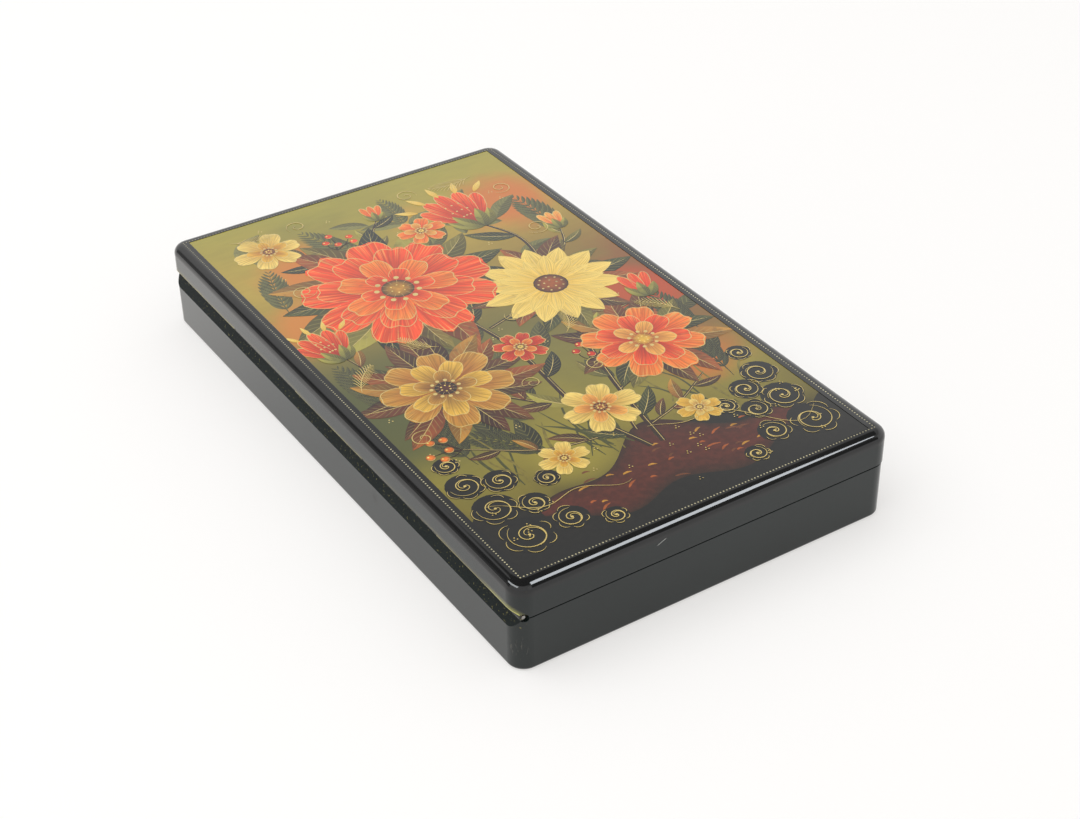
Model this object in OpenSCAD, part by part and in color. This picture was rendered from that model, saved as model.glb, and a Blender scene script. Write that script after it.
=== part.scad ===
// Flat hinged lacquer box of papier-mache: a base tray with an inner rim, a
// lid with a painted top, and a hinge of brass knuckles on one steel wire.
// The origin is the middle of the underside. The hinge runs along Y on the -X side.

/* [Box] */
// Outside length, along the hinge
length = 200; // [170:1:260]
// Outside width of the lid, from the hinge side to the opening side
width = 118; // [80:1:180]
// Height of the base, from the underside to the parting line
base_h = 17; // [12:0.5:40]
// Height of the lid, from the parting line to the top
lid_h = 10.2; // [8:0.2:24]
// How far the lid stands out over the base on the opening side
lid_overhang = 0.3; // [0:0.1:1]
// Radius of the four upright corners
corner_r = 4.8; // [3.6:0.1:9]
// Radius of the lid's top edge
top_edge_r = 2.8; // [0.6:0.1:3]
// Radius of the underside's edge
bottom_edge_r = 1; // [0.3:0.1:2.5]
// Height of the fine step round the base's top edge, which shows as the parting line
parting_step_h = 0.3; // [0.1:0.05:0.6]
// Depth of that step
parting_step_d = 0.3; // [0.1:0.05:0.6]

/* [Walls] */
// Thickness of the base's wall
wall_t = 5; // [4.4:0.1:9]
// Thickness of the bottom board
bottom_t = 3.6; // [2.6:0.1:6]
// Thickness of the lid's top board
top_t = 3.8; // [3.2:0.1:5]
// Inside radius of the tray's upright corners
inner_corner_r = 2.5; // [1.4:0.1:4]
// Thickness of the rim strip glued inside the base
rim_t = 1.2; // [0.8:0.1:2]
// How far the rim strip rises into the lid
rim_rise = 2.6; // [1:0.1:4]
// Gap all round between the rim strip and the lid
rim_gap = 0.3; // [0.2:0.05:0.8]

/* [Hinge] */
// Length of the knuckle at the -Y end
near_knuckle_len = 38; // [20:1:50]
// Length of the knuckle at the +Y end
far_knuckle_len = 45; // [20:1:50]
// Outside diameter of the knuckles
knuckle_d = 2.3; // [1.9:0.1:2.8]
// Diameter of the hinge wire
pin_d = 1.1; // [0.8:0.05:1.4]
// Radial gap between the wire and the knuckles' bore
pin_gap = 0.05; // [0.02:0.01:0.1]
// Radial gap round a knuckle where the other half turns on it
running_gap = 0.12; // [0.08:0.02:0.3]
// Radial glue line round a knuckle in its own half
glue_gap = 0.02; // [0.01:0.01:0.05]
// Gap between the ends of two knuckles
knuckle_end_gap = 0.2; // [0.1:0.05:0.5]
// Distance of the hinge's axis from the hinge side
hinge_inset = 2.5; // [2:0.1:2.9]
// How far below the parting line the base is bevelled on the hinge side
base_bevel = 3.8; // [2.5:0.1:5]
// How far above the parting line the lid is bevelled over the base's knuckles
lid_bevel = 2.3; // [1.6:0.1:3]
// How much lower the lid's edge hangs over its own knuckles
lid_lip = 0.4; // [0:0.1:0.8]
// How far the wire's ends lie inside the box's ends
pin_recess = 0.9; // [0.7:0.1:1.5]
// How far the outer knuckles' ends lie inside the wire's ends
knuckle_recess = 0.2; // [0:0.1:0.5]

/* [Painting] */
// Width of the black border along the painting's long sides
border_w = 5.1; // [4:0.1:12]
// Width of the black border at the painting's two ends
end_border_w = 4; // [3.5:0.1:12]
// Thickness of the painted layer, which lies flush in the lid
paint_t = 0.25; // [0.15:0.05:0.5]

/* [Hidden] */
$fn = 96;

lacquer = "#1b1c1d";
inside_red = "#8e1f16";
brass = "#b08d3c";
steel = "#b9bcc0";
olive = "#8f8a4c";

// The knuckles belong to the lid and the base in turn, each with a module of its own below
knuckle_count = 5;
total_h = base_h + lid_h;
base_w = width - lid_overhang;
lid_wall_h = lid_h - top_t;
// The lid's wall is thinner than the base's, so that the rim strip fits inside it
lid_wall_t = wall_t - rim_gap;
lid_inner_corner_r = inner_corner_r + rim_gap;
rim_inner_corner_r = max(inner_corner_r - rim_t, 0.2);
bore_r = pin_d / 2 + pin_gap;
knuckle_r = knuckle_d / 2;
knuckle_inset = pin_recess + knuckle_recess;
inner_knuckle_len = (length - near_knuckle_len - far_knuckle_len) / (knuckle_count - 2);
// Cuts run past the faces that they open by this much
past = 1;

// Where knuckle i starts, counted from the -Y end, for i = 0 to knuckle_count
function knuckle_start(i) =
    i == 0 ? 0
    : i == knuckle_count ? length
    : near_knuckle_len + (i - 1) * inner_knuckle_len;

// The even ones are the lid's, so the lid has one more than the base
function is_lid_knuckle(i) = i % 2 == 0;

// Moves a shape drawn from the box's low corner to the part's own origin
module from_corner() {
    translate([-width / 2, -length / 2, 0]) children();
}

// Upright block with its low corner at the origin and four round corners
module round_block(size, r) {
    translate([r, 0, 0]) cube([size.x - 2 * r, size.y, size.z]);
    translate([0, r, 0]) cube([size.x, size.y - 2 * r, size.z]);
    for (x = [r, size.x - r], y = [r, size.y - r])
        translate([x, y, 0]) cylinder(r = r, h = size.z);
}

// What a round takes off along an edge: the corner of a square outside a circle
module spandrel(edge_r) {
    difference() {
        translate([-past, -past]) square(edge_r + past);
        translate([edge_r, edge_r]) circle(r = edge_r);
    }
}

// The same block with its bottom edge rounded all the way round
module round_bottom_block(size, r, edge_r) {
    difference() {
        round_block(size, r);
        for (side = [0, 1]) {
            translate([side ? size.x + past : -past, side * size.y, 0])
                rotate([90, 0, side ? -90 : 90])
                    linear_extrude(size.x + 2 * past) spandrel(edge_r);
            translate([side * size.x, side ? -past : size.y + past, 0])
                rotate([90, 0, side ? 180 : 0])
                    linear_extrude(size.y + 2 * past) spandrel(edge_r);
        }
        for (corner = [[r, r, 180], [size.x - r, r, 270], [size.x - r, size.y - r, 0], [r, size.y - r, 90]])
            translate([corner.x, corner.y, 0])
                rotate([0, 0, corner.z])
                    rotate_extrude(angle = 90)
                        translate([r, 0]) mirror([1, 0]) spandrel(edge_r);
    }
}

// The block with its top edge rounded instead
module round_top_block(size, r, edge_r) {
    translate([0, 0, size.z]) mirror([0, 0, 1]) round_bottom_block(size, r, edge_r);
}

// The block with a fine step cut into its top edge all the way round
module step_top_block(size, r, step_h, step_d) {
    difference() {
        round_block(size, r);
        difference() {
            translate([-past, -past, size.z - step_h])
                cube([size.x + 2 * past, size.y + 2 * past, step_h + past]);
            translate([step_d, step_d, size.z - step_h - past])
                round_block(
                    [size.x - 2 * step_d, size.y - 2 * step_d, step_h + 3 * past],
                    r - step_d
                );
        }
    }
}

// Rod along the hinge's axis from y0 to y1
module hinge_rod(r, y0, y1) {
    translate([hinge_inset, y0, base_h]) rotate([-90, 0, 0]) cylinder(r = r, h = y1 - y0);
}

// Wedge cut that opens the hinge side from the axis out, between two heights at the side
module bevel_cut(z_low, z_high, y0, y1) {
    reach = (hinge_inset + past) / hinge_inset;
    translate([hinge_inset, y1, base_h])
        rotate([90, 0, 0])
            linear_extrude(y1 - y0)
                polygon([
                    [0, 0],
                    [-reach * hinge_inset, reach * (z_high - base_h)],
                    [-reach * hinge_inset, reach * (z_low - base_h)]
                ]);
}

// Seats of all the knuckles in one half: glued where they are its own, free elsewhere
module knuckle_seats(in_lid) {
    for (i = [0:knuckle_count - 1]) {
        own = is_lid_knuckle(i) == in_lid;
        y0 = i == 0 ? -past : knuckle_start(i);
        y1 = i == knuckle_count - 1 ? length + past : knuckle_start(i + 1);
        hinge_rod(knuckle_r + (own ? glue_gap : running_gap), y0, y1);
    }
}

module knuckle(i) {
    y0 = i == 0 ? knuckle_inset : knuckle_start(i) + knuckle_end_gap / 2;
    y1 = i == knuckle_count - 1 ? length - knuckle_inset : knuckle_start(i + 1) - knuckle_end_gap / 2;
    color(brass)
        from_corner()
            difference() {
                hinge_rod(knuckle_r, y0, y1);
                hinge_rod(bore_r, y0 - past, y1 + past);
            }
}

module bottom_board() {
    color(lacquer)
        from_corner()
            round_bottom_block([base_w, length, bottom_t], corner_r, bottom_edge_r);
}

module base_wall() {
    inner_w = base_w - 2 * wall_t;
    color(lacquer)
        from_corner()
            difference() {
                translate([0, 0, bottom_t])
                    step_top_block(
                        [base_w, length, base_h - bottom_t],
                        corner_r,
                        parting_step_h,
                        parting_step_d
                    );
                translate([wall_t, wall_t, bottom_t - past])
                    round_block([inner_w, length - 2 * wall_t, base_h + 2 * past], inner_corner_r);
                bevel_cut(base_h - base_bevel, base_h + past, -past, length + past);
                knuckle_seats(in_lid = false);
            }
}

// Strip round the inside of the base, from the bottom board up into the lid
module inner_rim() {
    inner_w = base_w - 2 * wall_t;
    inner_l = length - 2 * wall_t;
    rim_h = base_h - bottom_t + rim_rise;
    color(inside_red)
        from_corner()
            translate([wall_t, wall_t, bottom_t])
                difference() {
                    round_block([inner_w, inner_l, rim_h], inner_corner_r);
                    translate([rim_t, rim_t, -past])
                        round_block(
                            [inner_w - 2 * rim_t, inner_l - 2 * rim_t, rim_h + 2 * past],
                            rim_inner_corner_r
                        );
                }
}

module lid_wall() {
    // The cavity keeps to the base's, so the overhang thickens the opening side
    inner_w = base_w - 2 * lid_wall_t;
    color(lacquer)
        from_corner()
            difference() {
                translate([0, 0, base_h])
                    round_block([width, length, lid_wall_h], corner_r);
                translate([lid_wall_t, lid_wall_t, base_h - past])
                    round_block(
                        [inner_w, length - 2 * lid_wall_t, lid_wall_h + 2 * past],
                        lid_inner_corner_r
                    );
                for (i = [0:knuckle_count - 1]) {
                    rise = is_lid_knuckle(i) ? lid_bevel - lid_lip : lid_bevel;
                    y0 = i == 0 ? -past : knuckle_start(i);
                    y1 = i == knuckle_count - 1 ? length + past : knuckle_start(i + 1);
                    bevel_cut(base_h - past, base_h + rise, y0, y1);
                }
                knuckle_seats(in_lid = true);
            }
}

module lid_board() {
    color(lacquer)
        from_corner()
            difference() {
                translate([0, 0, total_h - top_t])
                    round_top_block([width, length, top_t], corner_r, top_edge_r);
                translate([border_w, end_border_w, total_h - paint_t])
                    cube([width - 2 * border_w, length - 2 * end_border_w, paint_t + past]);
            }
}

// The picture's ground, colours and clear lacquer, flush with the border round it
module painted_layer() {
    color(olive)
        from_corner()
            translate([border_w, end_border_w, total_h - paint_t])
                cube([width - 2 * border_w, length - 2 * end_border_w, paint_t]);
}

module hinge_wire() {
    color(steel)
        from_corner()
            hinge_rod(pin_d / 2, pin_recess, length - pin_recess);
}

module lid_knuckle_1() { knuckle(0); }
module base_knuckle_1() { knuckle(1); }
module lid_knuckle_2() { knuckle(2); }
module base_knuckle_2() { knuckle(3); }
module lid_knuckle_3() { knuckle(4); }

bottom_board();
base_wall();
inner_rim();
base_knuckle_1();
base_knuckle_2();
hinge_wire();
lid_wall();
lid_board();
painted_layer();
lid_knuckle_1();
lid_knuckle_2();
lid_knuckle_3();
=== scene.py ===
"""Looks of a flat hinged lacquer box: black lacquer outside, red inside, a folk flower painting on the lid.

Lengths are metres in the CAD's frame, but places on the box and in its painting are in millimetres. The
painting is made of flat strokes, laid over each other like coats of paint under the clear lacquer.
"""

import math
import random
from functools import partialmethod

import bpy
import numpy as np
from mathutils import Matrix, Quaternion, Vector


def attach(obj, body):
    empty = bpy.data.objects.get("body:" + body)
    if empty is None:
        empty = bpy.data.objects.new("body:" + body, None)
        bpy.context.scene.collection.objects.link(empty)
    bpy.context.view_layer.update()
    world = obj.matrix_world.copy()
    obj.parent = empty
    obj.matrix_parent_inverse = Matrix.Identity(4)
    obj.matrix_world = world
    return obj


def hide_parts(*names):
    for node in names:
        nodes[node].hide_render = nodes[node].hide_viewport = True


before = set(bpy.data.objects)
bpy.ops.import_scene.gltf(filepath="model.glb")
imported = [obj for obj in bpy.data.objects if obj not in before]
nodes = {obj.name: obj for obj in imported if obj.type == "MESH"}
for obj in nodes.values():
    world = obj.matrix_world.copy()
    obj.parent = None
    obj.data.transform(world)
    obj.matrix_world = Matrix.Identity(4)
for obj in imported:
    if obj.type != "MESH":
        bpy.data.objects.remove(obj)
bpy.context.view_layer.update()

MM = 0.001

# Heights in millimetres, as the CAD has them
LID_TOP = 27.2
PAINT_LOW = 26.95
LID_BOARD_LOW = 23.4
LID_BEVEL_TOP = 18.9
PARTING = 17.0
BASE_BEVEL_LOW = 13.2
BOTTOM_BOARD_TOP = 3.6

# Half the box's width, the hinge's distance from its middle, and half the cavity's width and length
HALF_WIDTH = 59.0
HINGE_X = 56.5
CAVITY_X = 54.0
CAVITY_Y = 95.0

# The painting's half width and half length
HALF_X = 53.9
HALF_Y = 96.0

# Where along Y the hinge's knuckles are the lid's
FIRST_KNUCKLE_END = -62.0
MIDDLE_KNUCKLE = (-23.0, 16.0)
LAST_KNUCKLE_START = 55.0

# The line of gold dots round the painting
DOT_LINE_X = 55.5
DOT_LINE_Y = 96.5
DOT_PITCH = 1.0
DOT_RADIUS = 0.21

# Traces of use: a dull smudge, a rubbed corner and a slanting scratch
SMUDGE_PLACE = (-59.0, -29.0, 10.0)
RUBBED_PLACE = (-57.8, -98.6, 7.5)
SCRATCH_X, SCRATCH_Z = -15.9, 23.0
SLANT_COS, SLANT_SIN = 0.92, 0.40

# How far below the parting the base's upper edge begins to round off, and how fast it falls away
EDGE_FALL = 0.55
EDGE_BEND = 1.05

LACQUER_IOR = 1.5
SIDE_BLACKS = ((0.0030, 0.0068, 0.0062), (0.0060, 0.0105, 0.0095))
TOP_BLACKS = ((0.0055, 0.0056, 0.0058), (0.0095, 0.0092, 0.0090))
INSIDE_REDS = ((0.36, 0.018, 0.010), (0.46, 0.030, 0.014))
FINE_SPECK = (0.020, 0.018, 0.012)
SCUFFED = (0.035, 0.030, 0.024)
SMUDGED = (0.0015, 0.0018, 0.0015)
RUBBED = (0.09, 0.085, 0.07)
BRASS_SPECK = (0.30, 0.26, 0.085)
CHIPPED = (0.14, 0.13, 0.10)
SCRATCHED = (0.34, 0.34, 0.32)
FAR_OLIVE, NEAR_OLIVE = (0.17, 0.145, 0.050), (0.42, 0.40, 0.12)
DOT_GOLD = (0.60, 0.55, 0.34)
WARM_WHITE = (1, 0.975, 0.945, 1)

# The camera is turned about Z, tilted up from looking straight down, and rolled, all in degrees
CAMERA_PLACE = (-0.24369, -0.40302, 0.32674)
CAMERA_TURN, CAMERA_TILT, CAMERA_ROLL = -32.41, 90 - 34.87, -0.98
CAMERA_LENS = 64.99

# What gloss sees of the studio, in degrees. The white sweep ends overhead. Cards are dark, and each is given
# by its azimuths and elevations as (low, high, softness). Levels are shares of plain white.
SWEEP_END = (45, 49)
LEFT_CARD = ((-75, -28, 5), (1.5, 70, 1.5))
FRONT_CARD = ((136, 164, 4), (7, 60, 5))
DARK_LEVEL = 0.18
EVEN_LEVEL = 1.08
RIGHT_LEVELS = (1.32, 0.70)
FILL_LEVEL = 0.80


# Camera, lamps and surroundings


def turned(axis, degrees):
    return Quaternion(axis, math.radians(degrees))


def direction(azimuth, elevation):
    """Unit vector, from degrees from +Y towards +X and degrees above the horizon."""
    a, e = math.radians(azimuth), math.radians(elevation)
    return Vector((math.sin(a) * math.cos(e), math.cos(a) * math.cos(e), math.sin(e)))


def add_object(name, data):
    thing = bpy.data.objects.new(name, data)
    bpy.context.scene.collection.objects.link(thing)
    return thing


def add_camera():
    data = bpy.data.cameras.new("camera")
    data.lens = CAMERA_LENS
    data.sensor_width = 36
    camera = add_object("camera", data)
    camera.location = CAMERA_PLACE
    tilt = turned((1, 0, 0), CAMERA_TILT)
    turn = turned((0, 0, 1), CAMERA_TURN) @ tilt @ turned((0, 0, 1), CAMERA_ROLL)
    camera.rotation_euler = turn.to_euler()
    bpy.context.scene.camera = camera


def add_lamp(name, place, size, radiance, colour, for_gloss, aim=(0, 0, 0), roll=0.0):
    """Flat lamp that faces its aim and lights either gloss or all else. A mirror would show its radiance."""
    data = bpy.data.lights.new(name, "AREA")
    data.shape = "RECTANGLE"
    data.size, data.size_y = size
    data.energy = radiance * math.pi * size[0] * size[1]
    data.color = colour
    lamp = add_object(name, data)
    lamp.location = place
    turn = (Vector(aim) - Vector(place)).to_track_quat("-Z", "Y") @ turned((0, 0, 1), roll)
    lamp.rotation_euler = turn.to_euler()
    lamp.visible_glossy = for_gloss
    lamp.visible_diffuse = not for_gloss
    lamp.visible_camera = False


# Shader helpers


class Look:
    """A node tree with short ways to add to it. Sockets go in where numbers do."""

    def __init__(self, tree):
        self.tree = tree
        tree.nodes.clear()

    def add(self, kind, inputs, out=0, **settings):
        node = self.tree.nodes.new("ShaderNode" + kind)
        for key, value in settings.items():
            setattr(node, key, value)
        for key, value in inputs.items():
            if isinstance(value, bpy.types.NodeSocket):
                self.tree.links.new(value, node.inputs[key])
            elif value is not None:
                node.inputs[key].default_value = value
        return node.outputs[out] if len(node.outputs) else None

    def math(self, operation, first, *others):
        """One operation on a value alone, or with each further value in turn."""
        for other in others or (None,):
            first = self.add("Math", {0: first, 1: other}, operation=operation)
        return first

    times = partialmethod(math, "MULTIPLY")
    plus = partialmethod(math, "ADD")
    minus = partialmethod(math, "SUBTRACT")
    most = partialmethod(math, "MAXIMUM")
    power = partialmethod(math, "POWER")
    size = partialmethod(math, "ABSOLUTE")
    fraction = partialmethod(math, "FRACT")

    def linear(self, value, factor, offset):
        return self.add("Math", {0: value, 1: factor, 2: offset}, operation="MULTIPLY_ADD")

    def split(self, vector):
        return tuple(self.add("SeparateXYZ", {0: vector}).node.outputs)

    def scaled(self, vector, x, y, z):
        return self.add("VectorMath", {0: vector, 1: (x, y, z)}, operation="MULTIPLY")

    def noise(self, vector, scale, detail=3.0, roughness=0.5):
        inputs = {"Vector": vector, "Scale": scale, "Detail": detail, "Roughness": roughness}
        return self.add("TexNoise", inputs)

    def step(self, value, low, high, out_low=0.0, out_high=1.0):
        """Goes smoothly from out_low to out_high as value goes from low to high."""
        inputs = {0: value, 1: low, 2: high, 3: out_low, 4: out_high}
        return self.add("MapRange", inputs, interpolation_type="SMOOTHSTEP")

    def fall(self, value, low, high, top=1.0):
        """Falls smoothly from top to 0 as value goes from low to high."""
        return self.step(value, low, high, top, 0.0)

    def band(self, value, low, high, soft):
        """1 where value lies between low and high, with soft edges."""
        rising = self.step(value, low - soft, low + soft)
        return self.times(rising, self.fall(value, high - soft, high + soft))

    def mix(self, factor, a, b, blend_type="MIX"):
        a = (*a, 1) if isinstance(a, tuple) else a
        b = (*b, 1) if isinstance(b, tuple) else b
        inputs = {0: factor, 6: a, 7: b}
        return self.add("Mix", inputs, out=2, data_type="RGBA", blend_type=blend_type)

    def ramp(self, factor, stops):
        ramp = self.add("ValToRGB", {0: factor}).node
        elements = ramp.color_ramp.elements
        while len(elements) < len(stops):
            elements.new(0.5)
        for element, (position, colour) in zip(elements, stops):
            element.position = position
            element.color = (*colour, 1)
        return ramp.outputs[0]


class Surface(Look):
    """A material, on which colours, dullness and bumps are laid in turn.

    Its place is in metres. Its point, and x, y and z of it, are the same in millimetres.
    """

    colour, roughness, normal = None, None, None

    def __init__(self, name):
        self.material = bpy.data.materials.new(name)
        self.material.use_nodes = True
        super().__init__(self.material.node_tree)
        self.place = self.add("TexCoord", {}, out="Object")
        self.point = self.scaled(self.place, 1 / MM, 1 / MM, 1 / MM)
        self.x, self.y, self.z = self.split(self.point)

    def grain(self, scale, detail=3.0, roughness=0.5, stretch=(1, 1, 1)):
        """Noise at the place, whose scale is times stretch along each axis."""
        return self.noise(self.scaled(self.place, *stretch), scale, detail, roughness)

    def distance(self, point):
        return self.add("VectorMath", {0: self.point, 1: point}, out=1, operation="DISTANCE")

    def cover(self, share, colour, dulling=None):
        """Lays a colour on by that share, and makes the surface duller by up to that much."""
        self.colour = self.mix(share, self.colour, colour)
        if dulling:
            self.dull(share, dulling)

    def dull(self, share, dulling):
        self.roughness = self.linear(share, dulling, self.roughness)

    def shade(self, grey):
        """Multiplies the colour by a grey."""
        grey = self.add("CombineColor", {0: grey, 1: grey, 2: grey})
        self.colour = self.mix(1.0, self.colour, grey, "MULTIPLY")

    def swell(self, height, distance=MM):
        """Bends the normal as that height does, which is in millimetres if no distance is given."""
        inputs = {"Height": height, "Distance": distance, "Normal": self.normal}
        self.normal = self.add("Bump", inputs)

    def finish(self, **others):
        """Ends the material in a Principled shader. Other inputs' names have _ for spaces."""
        inputs = {"Base Color": self.colour, "Roughness": self.roughness, "Normal": self.normal}
        inputs.update({key.replace("_", " "): value for key, value in others.items()})
        self.add("OutputMaterial", {0: self.add("BsdfPrincipled", {"IOR": LACQUER_IOR, **inputs})})
        return self.material


def add_world():
    """A white room that lights softly. What gloss sees has dark parts, as in the studio of the photo."""
    world = bpy.data.worlds.new("studio")
    world.use_nodes = True
    bpy.context.scene.world = world
    look = Look(world.node_tree)
    x, y, z = look.split(look.add("TexCoord", {}, out="Generated"))
    azimuth = look.times(look.math("ARCTAN2", x, y), 180 / math.pi)
    elevation = look.times(look.math("ARCSINE", z), 180 / math.pi)
    sweep = look.fall(elevation, *SWEEP_END)
    left_card, front_card = (
        look.times(look.band(azimuth, *azimuths), look.band(elevation, *elevations))
        for azimuths, elevations in (LEFT_CARD, FRONT_CARD)
    )
    # The card at the left is a little less dark low down
    left_card = look.times(left_card, look.step(elevation, 12, 22, 0.78, 1.0))
    cards = look.minus(1.0, look.most(left_card, front_card))
    # The sweep is even to the left; to the right it is brighter low down and dimmer high up
    gradient = look.minus(look.step(elevation, 31, 38, *RIGHT_LEVELS), EVEN_LEVEL)
    level = look.linear(look.step(azimuth, 5, 28), gradient, EVEN_LEVEL)
    for_gloss = look.linear(look.times(sweep, cards, level), 1 - DARK_LEVEL, DARK_LEVEL)
    # Camera and transmission rays see plain white, glossy rays the room, all others the soft fill
    paths = look.add("LightPath", {}).node.outputs
    is_glossy = paths["Is Glossy Ray"]
    plain = look.most(paths["Is Camera Ray"], paths["Is Transmission Ray"])
    fill = look.times(look.minus(1.0, is_glossy), FILL_LEVEL)
    strength = look.most(look.plus(look.times(is_glossy, for_gloss), fill), plain)
    look.add("OutputWorld", {0: look.add("Background", {"Color": (1, 1, 1, 1), "Strength": strength})})


def add_floor():
    mesh = bpy.data.meshes.new("floor")
    reach = 6.0
    corners = [(-reach, -reach, 0), (reach, -reach, 0), (reach, reach, 0), (-reach, reach, 0)]
    mesh.from_pydata(corners, [], [(0, 1, 2, 3)])
    floor = add_object("floor", mesh)
    look = Surface("floor")
    colour = look.mix(look.grain(3.0), (0.95, 0.95, 0.95), (0.97, 0.97, 0.97))
    look.swell(look.grain(700), 0.02 * MM)
    paper = look.add("BsdfDiffuse", {"Color": colour, "Normal": look.normal})
    # The eye sees half of it as plain white, so the box's shadow stays light; gloss sees a share of plain
    # white that changes along Y
    paths = look.add("LightPath", {}).node.outputs
    is_glossy = paths["Is Glossy Ray"]
    seen = look.most(paths["Is Camera Ray"], paths["Is Transmission Ray"])
    # Painted shade and light for gloss: less plain white in front of the near end, as a shadow there, and
    # more towards the far end
    near = look.linear(look.fall(look.y, -125, -98), -0.26, 1.0)
    far = look.step(look.y, 0, 110, 0.0, 0.6)
    share = look.times(look.most(seen, look.times(is_glossy, look.plus(near, far))), 0.5)
    # Towards the far end it is lit more than a white can show, which only gloss tells: a painted light, as a
    # brighter glow that only gloss sees
    painted_glare = look.times(is_glossy, look.step(look.y, 0, 120, 0.0, 0.38))
    white = look.add("Emission", {"Color": WARM_WHITE, "Strength": look.plus(painted_glare, 1.0)})
    look.add("OutputMaterial", {0: look.add("MixShader", {0: share, 1: paper, 2: white})})
    mesh.materials.append(look.material)


# Lacquer, brass and steel


class Lacquer(Surface):
    """Polished lacquer with faint smudges, a slight orange peel and a few dust nibs."""

    def __init__(self, name, seed=0.0):
        super().__init__(name)
        moved = self.add("VectorMath", {0: self.place, 1: (seed, 2 * seed, 0)}, operation="ADD")
        smudge = self.noise(self.scaled(moved, 1.0, 0.45, 1.6), 22, 5.0, 0.62)
        self.roughness = self.step(smudge, 0.42, 0.72, 0.035, 0.085)
        self.swell(self.noise(moved, 260, 1.0), 0.0028 * MM)
        cell = self.add("TexVoronoi", {"Vector": moved, "Scale": 95.0}).node
        is_nib = self.fall(cell.outputs["Distance"], 0.012, 0.03)
        rare = self.step(self.split(cell.outputs["Color"])[0], 0.80, 0.82)
        self.swell(self.times(is_nib, rare), 0.03 * MM)

    def cover_all(self, where, beyond=0.35, blacks=SIDE_BLACKS):
        """Black, and red where that is 1 over the cavity and that many millimetres beyond its sides."""
        self.colour = self.mix(self.step(self.grain(30, 4.0, 0.6), 0.35, 0.7), *blacks)
        self.cover(self.step(self.grain(900, 2.0), 0.70, 0.78), FINE_SPECK)
        in_x, in_y = (
            self.fall(self.size(value), half + beyond - 0.02, half + beyond + 0.02)
            for value, half in ((self.x, CAVITY_X), (self.y, CAVITY_Y))
        )
        self.cover(self.times(in_x, in_y, where), self.inside_red())

    def inside_red(self):
        return self.mix(self.grain(40, 4.0), *INSIDE_REDS)

    def brass_specks(self):
        """Crumbs of the worn ground, which gather in the groove of the hinge."""
        return self.step(self.grain(1900, 2.0, 0.6, (1, 0.6, 1)), 0.645, 0.70, 0.0, 0.4)

    def parting_chips(self):
        """Tiny chips along the edges where lid and base meet."""
        edge = self.fall(self.size(self.minus(self.z, PARTING)), 0.15, 0.40)
        chip = self.step(self.grain(1300, stretch=(0.7, 0.7, 1.4)), 0.64, 0.70, 0.0, 0.8)
        return self.times(edge, chip, self.step(self.grain(70, 2.0), 0.47, 0.55))


def bottom_lacquer():
    """Black outside, red on the tray's floor, and a little scuffed underneath."""
    look = Lacquer("bottom_lacquer", 3.0)
    look.cover_all(look.step(look.z, BOTTOM_BOARD_TOP - 0.1, BOTTOM_BOARD_TOP - 0.05), 0.2)
    scuff = look.step(look.grain(320, 5.0), 0.58, 0.74, 0.0, 0.6)
    look.cover(look.times(look.fall(look.z, 0.02, 0.4), scuff), SCUFFED, 0.35)
    return look.finish()


def base_wall_lacquer():
    """The base's sides, with a dull smudge on the hinge side and a rubbed upright corner beside the hinge."""
    look = Lacquer("base_wall_lacquer", 1.0)
    look.cover_all(0.0)
    ragged = look.linear(look.grain(450), 3.5, look.distance(SMUDGE_PLACE))
    look.cover(look.fall(ragged, 2.5, 5.0), SMUDGED, 0.22)
    # The upper edge is softly rounded, which draws the dark line under the lid
    past = look.most(look.minus(look.z, PARTING - EDGE_FALL), 0.0)
    look.swell(look.times(look.power(past, 2.0), -EDGE_BEND))
    # The rubbed corner, brass specks on the bevel and chips along the parting
    corner = look.fall(look.distance(RUBBED_PLACE), 1.0, 5.0, 0.7)
    rubbed = look.times(corner, look.step(look.grain(1900, stretch=(1, 1, 0.3)), 0.60, 0.66))
    bevel_start = look.step(look.z, BASE_BEVEL_LOW + 0.1, BASE_BEVEL_LOW + 0.3)
    specks = look.times(bevel_start, look.fall(look.x, -56, -55.8), look.brass_specks())
    chips = look.parting_chips()
    for share, colour in ((rubbed, RUBBED), (specks, BRASS_SPECK), (chips, CHIPPED)):
        look.cover(share, colour)
    look.dull(look.most(rubbed, specks, chips), 0.25)
    return look.finish()


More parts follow.
